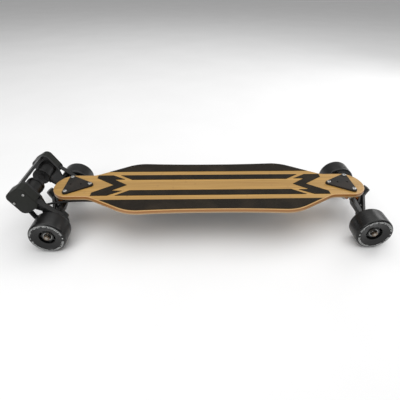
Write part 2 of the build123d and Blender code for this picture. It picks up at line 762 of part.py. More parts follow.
screw_depth = 8
with BuildPart() as enclosure_screws:
    with BuildSketch(level(box_top - lip_t)) as shanks:
        with Locations(*box_screws):
            Circle(2)
    extrude(shanks.sketch, amount=lip_t + gasket_t + screw_depth)
    with BuildSketch(level(box_top - lip_t)) as heads:
        with Locations(*box_screws):
            Circle(3.6)
    extrude(heads.sketch, amount=-2.2)
    fillet(enclosure_screws.faces().group_by(Axis.Z)[0].edges(), 1.2)
    with BuildSketch(level(box_top - lip_t - 2.2)) as sockets:
        with Locations(*box_screws):
            RegularPolygon(1.5, 6)
    extrude(sockets.sketch, amount=1.4, mode=Mode.SUBTRACT)
save(enclosure_screws.part, "enclosure_screws")

cell_r, cell_len, cell_pitch = 9.2, 65, 18.8
cell_rows = 15
battery_x = 84
with BuildPart() as battery_cells:
    with BuildSketch(wall_plane(-1)) as cells:
        for row in range(cell_rows):
            with Locations((battery_x + (row - cell_rows // 2) * cell_pitch, box_floor + cell_r + 1)):
                Circle(cell_r)
    extrude(cells.sketch, amount=cell_len)
    mirror(about=Plane.XZ)
save(battery_cells.part, "battery_cells")

with BuildPart() as speed_controller:
    with BuildSketch(level(box_floor + 0.5)):
        with Locations((-165, 0)):
            RectangleRounded(105, 96, 4)
    extrude(amount=12)
    for fin in range(12):
        with BuildSketch(level(box_floor + 12.5)) as fin_foot:
            with Locations((-165, (fin - 5.5) * 7.5)):
                Rectangle(96, 2)
        extrude(fin_foot.sketch, amount=6)
save(speed_controller.part, "speed_controller")

with BuildPart() as management_board:
    with BuildSketch(level(box_floor + 2)):
        with Locations((-88, 0)):
            Rectangle(32, 110)
    extrude(amount=1.6)
    with BuildSketch(level(box_floor + 3.6)) as chips:
        with Locations((-88, -36), (-88, 0), (-88, 36)):
            Rectangle(14, 18)
    extrude(chips.sketch, amount=4)
save(management_board.part, "management_board")

button_travel = 1.2
with BuildPart() as power_button:
    wall_disc(-box_half - 1.6, -box_half + box_wall + gap + button_travel, button_x, button_z, button_r)
    fillet(power_button.faces().sort_by(Axis.Y)[0].edges(), 0.8)
    flange_y = -box_half + box_wall + gap
    wall_disc(flange_y, flange_y + 1.5, button_x, button_z, button_r + 1.5)
save(power_button.part, "power_button")

cap_r = 7
hinge_x = port_x - 10.5
hinge_y = box_half + 3.7
hinge_half = 6
port_face = box_half + 1.5
with BuildPart() as charge_port:
    wall_disc(box_half, port_face, port_x, port_z, cap_r)
    with BuildSketch(level(port_z - hinge_half)) as hinge_leaf:
        with Locations(((hinge_x + port_x - 1.5) / 2, (box_half + port_face) / 2)):
            Rectangle(port_x - hinge_x + 1.5, port_face - box_half)
    extrude(hinge_leaf.sketch, amount=2 * hinge_half)
    wall_disc(box_half - 14, box_half, port_x, port_z, port_r)
    wall_disc(box_half - 8, port_face, port_x, port_z, 3.2, mode=Mode.SUBTRACT)
    wall_disc(box_half - 8.5, box_half - 1, port_x, port_z, 1)
    with BuildSketch(level(port_z - hinge_half)) as hinge_pin:
        with Locations((hinge_x, hinge_y)):
            Circle(0.8)
    extrude(hinge_pin.sketch, amount=2 * hinge_half)
    for lug_z in (port_z - hinge_half, port_z + hinge_half - 1.5):
        with BuildSketch(level(lug_z)) as lug:
            with Locations((hinge_x, box_half + 2.6)):
                Rectangle(3, 5.2)
        extrude(lug.sketch, amount=1.5)
save(charge_port.part, "charge_port")

with BuildPart() as charge_cap:
    with BuildSketch(level(port_z - 4)) as barrel:
        with Locations((hinge_x, hinge_y)):
            Circle(1.8)
    extrude(barrel.sketch, amount=8)
    wall_disc(port_face + gap, port_face + gap + 2, port_x, port_z, cap_r)
    with BuildSketch(level(port_z - 3)) as tongue:
        with Locations(((hinge_x + port_x) / 2, port_face + gap + 0.9)):
            Rectangle(port_x - hinge_x, 1.8)
    extrude(tongue.sketch, amount=6)
    with BuildSketch(level(port_z - 4)) as pin_bore:
        with Locations((hinge_x, hinge_y)):
            Circle(0.85)
    extrude(pin_bore.sketch, amount=8, mode=Mode.SUBTRACT)
save(charge_cap.part, "charge_cap")

# ---------------------------------------------------------------- deck, with its screw holes underneath
with BuildPart() as deck:
    with BuildSketch(level(deck_bottom)):
        add(deck_outline())
    extrude(amount=deck_t)
    fillet(deck.faces().sort_by(Axis.Z)[-1].edges(), 2.5)
    fillet(deck.faces().sort_by(Axis.Z)[0].edges(), 3)
    with BuildSketch(level(deck_bottom)) as bolt_holes:
        with both_ends():
            with Locations(*bolt_spots):
                Circle(bolt_hole_r)
    extrude(bolt_holes.sketch, amount=deck_t, mode=Mode.SUBTRACT)
    with BuildSketch(level(deck_bottom)) as screw_holes:
        with Locations(*box_screws):
            Circle(2)
    extrude(screw_holes.sketch, amount=screw_depth, mode=Mode.SUBTRACT)
save(deck.part, "deck")

# ---------------------------------------------------------------- motor cables and their glands
motor_x = -wheelbase / 2 - motor_u * uc + motor_v * us
motor_z = axle_z + motor_u * us + motor_v * uc
slant = sqrt(0.5)
gland_depth = 5
# each gland: its y, its direction from the motor's axis as X and Z, and how far out its mouth is
left_gland_y, left_gland_dir, left_gland_out = 30, (slant, -slant), motor_cap_r + 6
right_gland_y, right_gland_dir, right_gland_out = -52, (0, -1), motor_cap_r + 4


def at_motor(direction, out, y):
    """Point at a distance from the motor's axis, in deck coordinates."""
    return (motor_x + direction[0] * out, y, motor_z + direction[1] * out)


# routes from inside the enclosure to the glands, X from the deck centre
left_route = [
    (-box_len / 2 + 8, gland_y, gland_z), (-258, 46, gland_z), (-292, 47, 82), (-326, 47.5, 84.5),
    (-362, 47.5, 84.3), (-390, 46.5, 83.5), (-411, 37, 82),
    at_motor(left_gland_dir, left_gland_out + 14, left_gland_y),
    at_motor(left_gland_dir, left_gland_out - gland_depth + gap, left_gland_y),
]
right_route = [
    (-box_len / 2 + 8, -gland_y, gland_z), (-258, -46, gland_z), (-292, -47, 83), (-330, -48, 86),
    (-366, -48, 86), (-400, -49, 84.5), (-424, -50, 79), (-443, -51, 72),
    at_motor(right_gland_dir, right_gland_out + 12, right_gland_y),
    at_motor(right_gland_dir, right_gland_out - gland_depth + gap, right_gland_y),
]


def bend_radii(points):
    """Largest arcs that fit the corners of a route."""
    corners = [Vector(*point) for point in points]
    radii = []
    for before, here, after in zip(corners, corners[1:], corners[2:]):
        run_in, run_out = here - before, after - here
        half_turn = radians(run_in.get_angle(run_out) / 2)
        radii.append(0.45 * min(run_in.length, run_out.length) * cos(half_turn) / sin(half_turn))
    return radii


def cable(points, radius, name):
    """Round cable along straight runs joined by tangent arcs; prints its bends and its length."""
    radii = bend_radii(points)
    with BuildLine(level(0)) as path:
        FilletPolyline(*points, radius=radii)
    line = path.wires()[0]
    with BuildSketch(Plane(origin=line @ 0, z_dir=line % 0)) as section:
        Circle(radius)
    sweep(section.sketch, path=line)
    print(f"{name}: bend radii {[round(bend) for bend in radii]}, length {line.length:.0f}")


with BuildPart() as motor_cables:
    cable(left_route, left_cable_r, "left cable")
    cable(right_route, right_cable_r, "right cable")
save(motor_cables.part, "motor_cables")


def motor_gland(y, direction, out, cable_r):
    """Gland on a motor's barrel, with a blind hole for the cable."""
    mouth = Plane(
        origin=(mid_x + motor_x, y, motor_z), x_dir=(0, 1, 0), z_dir=(direction[0], 0, direction[1])
    )
    round_bar(mouth, barrel_r - 1, out, cable_r + 1.8)
    round_bar(mouth, out - gland_depth, out, cable_r + gap, mode=Mode.SUBTRACT)


with BuildPart() as left_motor:
    add(mirror(motor.part, about=Plane.XZ))
    motor_gland(left_gland_y, left_gland_dir, left_gland_out, left_cable_r)
save(left_motor.part, "left_motor_housing")

with BuildPart() as right_motor:
    add(motor.part)
    motor_gland(right_gland_y, right_gland_dir, right_gland_out, right_cable_r)
save(right_motor.part, "right_motor_housing")
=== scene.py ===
"""Electric skateboard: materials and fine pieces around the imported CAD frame, in metres."""
from math import acos, atan2, cos, pi, radians, sin

import bpy
from mathutils import Matrix, Vector


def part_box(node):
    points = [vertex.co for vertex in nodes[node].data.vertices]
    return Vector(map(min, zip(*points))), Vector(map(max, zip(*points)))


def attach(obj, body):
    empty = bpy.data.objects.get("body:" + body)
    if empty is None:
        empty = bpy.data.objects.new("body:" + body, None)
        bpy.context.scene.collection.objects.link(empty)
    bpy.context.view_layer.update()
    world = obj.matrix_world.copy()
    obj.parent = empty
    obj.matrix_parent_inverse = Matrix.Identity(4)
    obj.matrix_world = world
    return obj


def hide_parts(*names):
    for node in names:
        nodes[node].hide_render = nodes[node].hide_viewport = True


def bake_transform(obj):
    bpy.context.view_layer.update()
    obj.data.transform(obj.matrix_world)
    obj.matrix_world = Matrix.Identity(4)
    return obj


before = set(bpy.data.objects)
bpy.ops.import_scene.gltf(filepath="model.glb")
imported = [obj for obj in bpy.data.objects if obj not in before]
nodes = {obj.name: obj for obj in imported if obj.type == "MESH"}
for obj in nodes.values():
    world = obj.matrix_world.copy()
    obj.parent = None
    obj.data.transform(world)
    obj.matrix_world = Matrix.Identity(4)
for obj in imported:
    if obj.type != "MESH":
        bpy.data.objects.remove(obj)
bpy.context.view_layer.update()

SIDES = {"left": 1, "right": -1}         # sign of Y
ENDS = ("front", "rear")


def middle(node):
    """Centre of a CAD node's box."""
    low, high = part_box(node)
    return (low + high) / 2


WHEEL_CENTRES = {(end, side): middle(f"{end}_{side}_tyre") for end in ENDS for side in SIDES}
MOTOR_AXIS = middle("left_rotor")
DECK_LOW, DECK_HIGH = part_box("deck")
DECK_MID = (DECK_LOW + DECK_HIGH) / 2

# wheels
WHEEL_R, WHEEL_WIDTH = 0.045, 0.052
TREAD_FILLET = 0.006
OPENING_R, CORE_R = 0.020, 0.026
CORE_IN, CORE_OUT = 0.008, 0.044         # the core's faces, from the wheel's inner face
DISH_IN, DISH_OUT = 0.0035, 0.005        # how far the two faces sink towards the opening

# printed ring on a tyre's outer face
TICKS = 84
TICK_LOW, TICK_HIGH = 0.0358, 0.0411     # radii at the ends of the longest ticks
TICK_STEP = 0.0015                       # from one tick length to the next
DOT_RING_R, DOT_R = 0.0385, 0.0017
PRINTED_BEYOND = 0.018                   # outward from the wheel's middle plane

# belts
BELT_PITCH = 0.005
WHEEL_TEETH, MOTOR_TEETH = 40, 17
BELT_INSET = 0.00027                     # from a pulley's pitch radius in to the belt's inner face
BELT_THICKNESS = 0.0017                  # without the teeth
BELT_NEAR, BELT_FAR = 0.0778, 0.0928     # edges, from the board's middle plane
BELT_CHAMFER = 0.0003
TOOTH_DEPTH = 0.0016
TOOTHLESS_END = 0.013                    # length of a free run without teeth beside each pulley
WRAP_STEPS, RUN_STEPS = 60, 200

# motor cables
CABLE_R = {"left": 0.0045, "right": 0.003}
BRAID_SINK, BRAID_DEPTH = 0.0002, 0.00016
SLEEVE_FROM, SLEEVE_TO = 0.024, 0.040    # stretch of a shrink sleeve, from the cable's end
SLEEVE_WALL = 0.0009
CABLE_JOIN = 0.394                       # behind the deck's middle, as are the bends
INNER_BEND = (0.355, 0.392)
OUTER_BEND = {"left": (0.396, 0.436), "right": (0.396, 0.448)}
SLANT = cos(pi / 4)

MOTOR_SCREW_CIRCLE_R = 0.0165
BUTTON_WALL_Y = -0.072                   # outer face of the wall that the power button is in


# ---------------------------------------------------------------- node materials
class Look:
    """A procedural material: a Principled shader fed by textures in the model's own metres."""

    def __init__(self, name, color=(0.5, 0.5, 0.5), rough=0.5, metal=0.0, sockets=None):
        self.mat = bpy.data.materials.new(name)
        self.mat.use_nodes = True
        self.tree = self.mat.node_tree
        self.shader = self.tree.nodes["Principled BSDF"]
        self.shader.inputs["Base Color"].default_value = (*color, 1)
        self.shader.inputs["Roughness"].default_value = rough
        self.shader.inputs["Metallic"].default_value = metal
        for socket, value in (sockets or {}).items():
            self.shader.inputs[socket].default_value = value
        self.place = self.add("ShaderNodeTexCoord").outputs["Object"]

    def add(self, kind, **settings):
        node = self.tree.nodes.new(kind)
        for key, value in settings.items():
            setattr(node, key, value)
        return node

    def feed(self, socket, value):
        """Link an output to a socket, or set the socket to a plain value."""
        if isinstance(value, bpy.types.NodeSocket):
            self.tree.links.new(value, socket)
        else:
            socket.default_value = value

    def math(self, operation, first, second=0.0):
        node = self.add("ShaderNodeMath", operation=operation)
        self.feed(node.inputs[0], first)
        self.feed(node.inputs[1], second)
        return node.outputs[0]

    def plus(self, first, second):
        return self.math("ADD", first, second)

    def minus(self, first, second):
        return self.math("SUBTRACT", first, second)

    def times(self, first, second):
        return self.math("MULTIPLY", first, second)

    def over(self, first, second):
        return self.math("DIVIDE", first, second)

    def above(self, value, limit):
        """1 where a value is above a limit, 0 elsewhere."""
        return self.math("GREATER_THAN", value, limit)

    def below(self, value, limit):
        """1 where a value is below a limit, 0 elsewhere."""
        return self.math("LESS_THAN", value, limit)

    def axes(self, place=None):
        """X, Y and Z of a place as three numbers."""
        node = self.add("ShaderNodeSeparateXYZ")
        self.feed(node.inputs[0], self.place if place is None else place)
        return node.outputs[0], node.outputs[1], node.outputs[2]

    def point(self, x, y, z):
        node = self.add("ShaderNodeCombineXYZ")
        for socket, value in zip(node.inputs, (x, y, z)):
            self.feed(socket, value)
        return node.outputs[0]

    def stretched(self, x, y, z):
        """The model's place scaled along each axis, for grain and brushing."""
        node = self.add("ShaderNodeMapping")
        self.feed(node.inputs["Vector"], self.place)
        node.inputs["Scale"].default_value = (x, y, z)
        return node.outputs[0]

    def noise(self, scale, detail=3.0, place=None):
        node = self.add("ShaderNodeTexNoise")
        self.feed(node.inputs["Vector"], self.place if place is None else place)
        node.inputs["Scale"].default_value = scale
        node.inputs["Detail"].default_value = detail
        return node.outputs[0]

    def cells(self, scale):
        """Distance to the nearest point of a cell pattern."""
        node = self.add("ShaderNodeTexVoronoi")
        self.feed(node.inputs["Vector"], self.place)
        node.inputs["Scale"].default_value = scale
        return node.outputs["Distance"]

    def random(self, place):
        """One random number for each whole place."""
        node = self.add("ShaderNodeTexWhiteNoise", noise_dimensions="3D")
        self.feed(node.inputs["Vector"], place)
        return node.outputs["Value"]

    def spread(self, value, low, high, out_low=0.0, out_high=1.0):
        """Map low..high to out_low..out_high, clamped."""
        node = self.add("ShaderNodeMapRange")
        for socket, number in zip(node.inputs, (value, low, high, out_low, out_high)):
            self.feed(socket, number)
        return node.outputs[0]

    def band(self, value, low, high, soft):
        """1 between low and high, 0 outside, with soft edges."""
        rise = self.spread(value, low - soft, low + soft)
        fall = self.spread(value, high - soft, high + soft, 1.0, 0.0)
        return self.times(rise, fall)

    def polar(self, centre):
        """Distance from the line along Y through a point, and the angle round it."""
        x, _, z = self.axes()
        dx = self.minus(x, centre[0])
        dz = self.minus(z, centre[2])
        squares = self.plus(self.times(dx, dx), self.times(dz, dz))
        return self.math("SQRT", squares), self.math("ARCTAN2", dz, dx)

    def blend(self, share, first, second, mode="MIX"):
        node = self.add("ShaderNodeMix", data_type="RGBA", blend_type=mode)
        self.feed(node.inputs["Factor"], share)
        for socket, color in ((node.inputs[6], first), (node.inputs[7], second)):
            self.feed(socket, (*color, 1) if isinstance(color, tuple) else color)
        return node.outputs[2]

    def ramp(self, value, stops, stepped=False):
        node = self.add("ShaderNodeValToRGB")
        band = node.color_ramp
        band.interpolation = "CONSTANT" if stepped else "LINEAR"
        for number, (place, color) in enumerate(stops):
            stop = band.elements[number] if number < 2 else band.elements.new(place)
            stop.position = place
            stop.color = (*color, 1)
        self.feed(node.inputs["Fac"], value)
        return node.outputs["Color"]

    def relief(self, *layers):
        """Stack bumps: each layer is a height and its depth in metres."""
        normal = None
        for height, depth in layers:
            node = self.add("ShaderNodeBump")
            node.inputs["Distance"].default_value = depth
            self.feed(node.inputs["Height"], height)
            if normal is not None:
                self.feed(node.inputs["Normal"], normal)
            normal = node.outputs[0]
        self.feed(self.shader.inputs["Normal"], normal)

    def color(self, value):
        self.feed(self.shader.inputs["Base Color"], value)

    def rough(self, value):
        self.feed(self.shader.inputs["Roughness"], value)


def bamboo_look():
    """Bamboo veneer with strips, knuckles and grain on top and below; glued plies on the edge, with
    a painted highlight as their top band.
    """
    look = Look("bamboo", rough=0.42, sockets={"Coat Weight": 0.25, "Coat Roughness": 0.25})
    strip_width, knuckle_gap = 0.0095, 0.31
    x, y, z = look.axes()
    strip = look.math("FLOOR", look.over(y, strip_width))
    shift = look.random(look.point(strip, 3.0, 0.0))
    knuckle_place = look.plus(look.over(x, knuckle_gap), look.times(shift, 7.0))
    knuckle = look.band(look.math("FRACT", knuckle_place), 0.49, 0.505, 0.004)
    fibres = look.noise(1.0, 6.0, look.stretched(14, 1500, 300))
    streaks = look.noise(1.0, 3.0, look.stretched(3, 190, 60))
    veneer = look.ramp(
        look.plus(look.times(fibres, 0.55), look.times(streaks, 0.45)),
        [(0.3, (0.30, 0.148, 0.030)), (0.48, (0.445, 0.248, 0.059)), (0.7, (0.565, 0.337, 0.100))],
    )
    tone = look.spread(shift, 0.0, 1.0, 0.86, 1.08)
    veneer = look.blend(1.0, veneer, look.point(tone, tone, tone), "MULTIPLY")
    veneer = look.blend(look.times(knuckle, 0.22), veneer, (0.25, 0.12, 0.035))
    # edge colour in stepped bands up the deck's side: the top band is a painted highlight along the
    # top round-over, the other bands are ply colours
    plies_and_edge_highlight = look.ramp(
        look.spread(z, DECK_LOW.z, DECK_HIGH.z),
        [
            (0.0, (0.60, 0.45, 0.28)), (0.20, (0.52, 0.36, 0.19)), (0.36, (0.43, 0.225, 0.078)),
            (0.50, (0.44, 0.195, 0.050)), (0.63, (0.36, 0.130, 0.022)),
            (0.78, (0.42, 0.170, 0.034)), (0.92, (0.66, 0.42, 0.18)),
        ],
        stepped=True,
    )
    end_grain = look.noise(1.0, 4.0, look.stretched(500, 500, 2600))
    plies_and_edge_highlight = look.blend(look.spread(end_grain, 0.35, 0.7, 0.0, 0.5), plies_and_edge_highlight, (0.26, 0.12, 0.035))
    facing = look.add("ShaderNodeNewGeometry").outputs["Normal"]
    flat = look.spread(look.math("ABSOLUTE", look.axes(facing)[2]), 0.93, 0.97)
    look.color(look.blend(flat, plies_and_edge_highlight, veneer))
    look.rough(look.spread(fibres, 0.3, 0.7, 0.36, 0.5))
    look.relief((fibres, 0.00012), (knuckle, 0.00015))
    return look.mat


def grip_look():
    """Coarse black grit with brown dust in it and the odd bright grain."""
    look = Look("grip", rough=0.92, sockets={"Specular IOR Level": 0.2})
    grains = look.cells(1300)
    dust = look.noise(16, 5)
    body = look.ramp(grains, [(0.1, (0.034, 0.027, 0.019)), (0.7, (0.010, 0.008, 0.006))])
    body = look.blend(look.spread(dust, 0.45, 0.75, 0.0, 0.45), body, (0.050, 0.037, 0.024))
    spark = look.spread(look.noise(1900, 1), 0.72, 0.78)
    look.color(look.blend(look.times(spark, 0.4), body, (0.25, 0.23, 0.20)))
    look.rough(look.spread(spark, 0.0, 1.0, 0.95, 0.5))
    look.relief((grains, 0.0004), (look.noise(700, 4), 0.0003))
    return look.mat


def coated_look(name, color, rough=0.45, grain=2200, depth=0.00004, dust=2.2, shine=0.3):
    """Powder coat or moulded plastic: fine orange peel, faint dust and uneven gloss."""
    look = Look(name, color, rough=rough, sockets={"Specular IOR Level": shine})
    peel = look.noise(grain, 3)
    patches = look.noise(22, 5)
    dusty = tuple(channel * dust for channel in color)
    look.color(look.blend(look.spread(patches, 0.5, 0.8, 0.0, 0.5), color, dusty))
    look.rough(look.spread(patches, 0.3, 0.7, rough - 0.07, rough + 0.09))
    look.relief((peel, depth))
    return look.mat


def plate_look():
    """Thin rough coat on the top plates, with brown specks of dust."""
    look = Look("plate_black", rough=0.6, sockets={"Specular IOR Level": 0.22})
    patches = look.noise(30, 6)
    coat = look.spread(patches, 0.4, 0.7)
    body = look.blend(coat, (0.013, 0.011, 0.009), (0.030, 0.024, 0.020))
    specks = look.spread(look.noise(900, 2), 0.66, 0.72, 0.0, 0.6)
    look.color(look.blend(specks, body, (0.11, 0.095, 0.08)))
    look.rough(look.spread(patches, 0.3, 0.7, 0.5, 0.68))
    look.relief((look.noise(1500, 3), 0.0001), (patches, 0.0001))
    return look.mat


def steel_look(name, color, rough, across=(300, 300, 300)):
    """Plated or ground steel with fine scratches and a few dull spots."""
    look = Look(name, color, rough=rough, metal=1.0)
    scratches = look.noise(8.0, 5, look.stretched(*across))
    spots = look.noise(90, 4)
    darker = tuple(channel * 0.62 for channel in color)
    look.color(look.blend(look.spread(spots, 0.5, 0.75, 0.0, 0.55), color, darker))
    look.rough(look.spread(scratches, 0.3, 0.7, rough - 0.1, rough + 0.14))
    look.relief((scratches, 0.00002))
    return look.mat


def print_ring(look, radius, turn):
    """Two arcs of plain ticks in three lengths, with a dot in each gap between the arcs."""
    step = look.times(turn, TICKS)
    pick = look.random(look.point(look.math("FLOOR", step), 1.0, 0.0))
    shorter = look.plus(look.above(pick, 0.55), look.above(pick, 0.8))
    tick_low = look.plus(look.times(shorter, TICK_STEP), TICK_LOW)
    inside = look.times(look.above(radius, tick_low), look.below(radius, TICK_HIGH))
    tick = look.times(look.band(look.math("FRACT", step), 0.24, 0.76, 0.04), inside)
    arc = look.math("FRACT", look.times(turn, 2.0))
    ticks = look.times(tick, look.band(arc, 0.07, 0.93, 0.001))
    from_gap = look.math("MINIMUM", arc, look.minus(1.0, arc))
    sideways = look.times(from_gap, pi * DOT_RING_R)
    upward = look.minus(radius, DOT_RING_R)
    reach = look.plus(look.times(sideways, sideways), look.times(upward, upward))
    return look.math("MAXIMUM", ticks, look.below(reach, DOT_R**2))


def tyre_look(name, centre, outward):
    """Black urethane with a printed ring on the outer face, and a scuffed tread."""
    look = Look(name, rough=0.24, sockets={"Specular IOR Level": 0.36})
    radius, angle = look.polar(centre)
    y = look.times(look.axes()[1], outward)
    turn = look.times(look.plus(angle, pi), 0.5 / pi)
    face = look.above(y, abs(centre[1]) + PRINTED_BEYOND)
    mark = look.times(print_ring(look, radius, turn), face)
    worn = look.spread(look.noise(420, 4), 0.35, 0.62, 0.45, 1.0)
    tread = look.spread(radius, WHEEL_R - 0.0007, WHEEL_R - 0.0001)
    scuff = look.noise(1.0, 5, look.stretched(60, 900, 60))
    scuffed = look.times(tread, look.spread(scuff, 0.45, 0.75))
    rubber = look.blend(scuffed, (0.0045, 0.0045, 0.0046), (0.015, 0.014, 0.013))
    look.color(look.blend(look.times(mark, worn), rubber, (0.62, 0.63, 0.62)))
    gloss = look.spread(look.noise(45, 4), 0.3, 0.7, 0.16, 0.30)
    look.rough(look.plus(gloss, look.times(tread, 0.10)))
    look.relief((look.noise(260, 3), 0.00003), (scuff, 0.00003))
    return look.mat


def bearing_look(name, centre):
    """Steel rings with a dark rubber seal between them."""
    look = Look(name, rough=0.25, metal=0.9)
    seal_inner_r, seal_outer_r = 0.0064, 0.0089
    radius, _ = look.polar(centre)
    seal = look.band(radius, seal_inner_r, seal_outer_r, 0.0001)
    scratch = look.noise(300, 4)
    dull = look.spread(scratch, 0.4, 0.7, 0.0, 0.5)
    steel = look.blend(dull, (0.30, 0.30, 0.29), (0.18, 0.18, 0.18))
    look.color(look.blend(seal, steel, (0.02, 0.02, 0.02)))
    gloss = look.spread(scratch, 0.3, 0.7, 0.16, 0.32)
    look.rough(look.plus(gloss, look.times(seal, 0.3)))
    look.relief((scratch, 0.00001))
    return look.mat


def motor_look():
    """Black anodised can with fine turning marks round the axis."""
    look = Look("motor_can", rough=0.38, metal=0.55)
    radius, _ = look.polar(MOTOR_AXIS)
    y = look.axes()[1]
    cuts_per_metre = 4000
    section = look.point(look.times(radius, cuts_per_metre), look.times(y, cuts_per_metre), 0.0)
    cuts = look.noise(1.0, 4, section)
    dull = look.spread(look.noise(35, 4), 0.4, 0.75, 0.0, 0.6)
    look.color(look.blend(dull, (0.011, 0.011, 0.011), (0.026, 0.025, 0.024)))
    look.rough(look.spread(cuts, 0.3, 0.7, 0.28, 0.48))
    look.relief((cuts, 0.00002))
    return look.mat


def woven_look(name, color, pitch=0.0011):
    """Braided sleeve or fabric-backed rubber: two crossed sets of yarns, with a painted highlight
    on their crowns.
    """
    look = Look(name, color, rough=0.75)
    x, y, z = look.axes()
    along = look.over(look.plus(x, look.plus(y, z)), pitch)
    against = look.over(look.minus(x, look.plus(y, z)), pitch)
    first = look.math("SINE", look.times(along, pi))
    second = look.math("SINE", look.times(against, pi))
    yarn = look.times(first, second)
    # the yarns' raised crowns are painted lighter: a painted highlight that follows the weave's
    # relief
    crown_highlight = tuple(channel * 2.6 for channel in color)
    look.color(look.blend(look.spread(yarn, -0.6, 0.8), color, crown_highlight))
    look.relief((yarn, 0.00015), (look.noise(900, 3), 0.00005))
    return look.mat


def cell_look():
    """Shrink sleeve on the cells, with bare metal at their ends."""
    look = Look("cell_sleeve", rough=0.35)
    cell_length, bare_end = 0.066, 0.0015
    y = look.math("ABSOLUTE", look.axes()[1])
    sleeve = look.band(y, bare_end, cell_length - bare_end, 0.0004)
    crease = look.noise(1.0, 3, look.stretched(300, 60, 300))
    blue = look.blend(look.spread(crease, 0.4, 0.7), (0.05, 0.14, 0.36), (0.09, 0.22, 0.5))
    look.color(look.blend(sleeve, (0.55, 0.55, 0.54), blue))
    look.relief((crease, 0.00008))
    return look.mat


def board_look():
    """Green circuit board with tracks."""
    look = Look("circuit_board", rough=0.4)
    track_gap = 0.0035
    _, y, _ = look.axes()
    across = look.math("FRACT", look.over(y, track_gap))
    patches = look.above(look.noise(70, 1), 0.5)
    tracks = look.times(look.band(across, 0.3, 0.6, 0.03), patches)
    look.color(look.blend(tracks, (0.012, 0.11, 0.045), (0.03, 0.24, 0.10)))
    look.relief((tracks, 0.00005))
    return look.mat


def bushing_look():
    """Semi-gloss orange urethane, a little cloudy."""
    look = Look("bushing_urethane", rough=0.35, sockets={"Subsurface Weight": 0.1})
    cloud = look.noise(60, 5)
    look.color(look.ramp(cloud, [(0.3, (0.50, 0.13, 0.025)), (0.7, (0.68, 0.24, 0.05))]))
    look.rough(look.spread(cloud, 0.3, 0.7, 0.28, 0.42))
    look.relief((look.noise(500, 3), 0.00004))
    return look.mat


def wear(*names, material):
    """Put one material on CAD nodes."""
    for name in names:
        nodes[name].data.materials.clear()
        nodes[name].data.materials.append(material)


black_metal = coated_look("black_metal", (0.010, 0.010, 0.010), 0.30, shine=0.5)
cover_black = coated_look(
    "cover_black", (0.0105, 0.0115, 0.0090), 0.5, grain=1600, depth=0.00008, shine=0.24
)
enclosure_black = coated_look(
    "enclosure_black", (0.018, 0.018, 0.018), 0.55, grain=1100, depth=0.00012
)
small_plastic = coated_look("small_plastic", (0.014, 0.014, 0.014), 0.3)
core_plastic = coated_look("core_plastic", (0.008, 0.008, 0.008), 0.32, grain=1500, shine=0.4)
pulley_black = coated_look("pulley_black", (0.022, 0.022, 0.023), 0.35, grain=2600)
plate_black = plate_look()
rubber_black = woven_look("black_rubber", (0.010, 0.010, 0.010))
belt_rubber = woven_look("belt_rubber", (0.009, 0.009, 0.009), 0.0007)
braid_black = woven_look("braided_sleeve", (0.009, 0.009, 0.009))
bright_steel = steel_look("steel", (0.48, 0.48, 0.47), 0.3)
brass_steel = steel_look("yellow_zinc", (0.20, 0.155, 0.115), 0.36)
axle_steel = steel_look("axle_steel", (0.34, 0.32, 0.29), 0.36)
shaft_steel = steel_look("rotor_steel", (0.4, 0.4, 0.41), 0.34, (300, 40, 300))
case_metal = steel_look("controller_case", (0.32, 0.32, 0.33), 0.5)
motor_can = motor_look()
orange_urethane = bushing_look()

wear("deck", material=bamboo_look())
wear("grip_tape", "grip_chevrons", material=grip_look())
wear("brace_bar", material=black_metal)
wear("truck_bolts", "drive_screws", "enclosure_screws", "inner_kingpins", material=bright_steel)
wear("inner_bushings", material=orange_urethane)
wear("enclosure", material=enclosure_black)
wear("enclosure_gasket", material=rubber_black)
wear("power_button", "charge_port", "charge_cap", material=small_plastic)
wear("battery_cells", material=cell_look())
wear("speed_controller", material=case_metal)
wear("management_board", material=board_look())
for end in ENDS:
    wear(f"{end}_top_plate", material=plate_black)
    wear(f"{end}_baseplate", f"{end}_link", f"{end}_hanger", material=black_metal)
    wear(f"{end}_outer_kingpin", material=bright_steel)
    wear(f"{end}_outer_bushing", material=orange_urethane)
    wear(f"{end}_axle", material=axle_steel)
    wear(f"{end}_axle_nuts", material=brass_steel)
for side in SIDES:
    wear(f"{side}_motor_mount", material=black_metal)
    wear(f"{side}_belt_cover", material=cover_black)
    wear(f"{side}_motor_housing", material=motor_can)
    wear(f"{side}_rotor", material=shaft_steel)
    wear(f"{side}_wheel_pulley", f"{side}_motor_pulley", material=pulley_black)
for (end, side), centre in WHEEL_CENTRES.items():
    name = f"{end}_{side}"
    wear(f"{name}_core", material=core_plastic)
    wear(f"{name}_bearings", material=bearing_look(f"{name}_bearing_steel", centre))


# ---------------------------------------------------------------- shells and pieces
def skin(rings, closed=False):
    """Points and faces of a surface through rings of equal length."""
    count = len(rings[0])
    points = [point for ring in rings for point in ring]
    faces = []
    for number in range(len(rings) if closed else len(rings) - 1):
        here, after = number * count, (number + 1) % len(rings) * count
        faces += [
            (here + i, here + (i + 1) % count, after + (i + 1) % count, after + i)
            for i in range(count)
        ]
    if not closed:
        faces.append(tuple(reversed(range(count))))
        faces.append(tuple(range(len(points) - count, len(points))))
    return points, faces


def turned(profile, place, axis, segments=24):
    """Shell turned round an axis from (radius, height) stations; a third value makes a hexagon."""
    up = Vector(axis).normalized()
    across = up.orthogonal().normalized()
    other = up.cross(across)
    rings = []
    for radius, height, *hexagon in profile:
        ring = []
        for i in range(segments):
            angle = 2 * pi * i / segments
            reach = radius
            if hexagon:
                reach = radius * cos(pi / 6) / cos((angle + pi / 6) % (pi / 3) - pi / 6)
            out = reach * (cos(angle) * across + sin(angle) * other)
            ring.append(Vector(place) + height * up + out)
        rings.append(ring)
    return skin(rings)


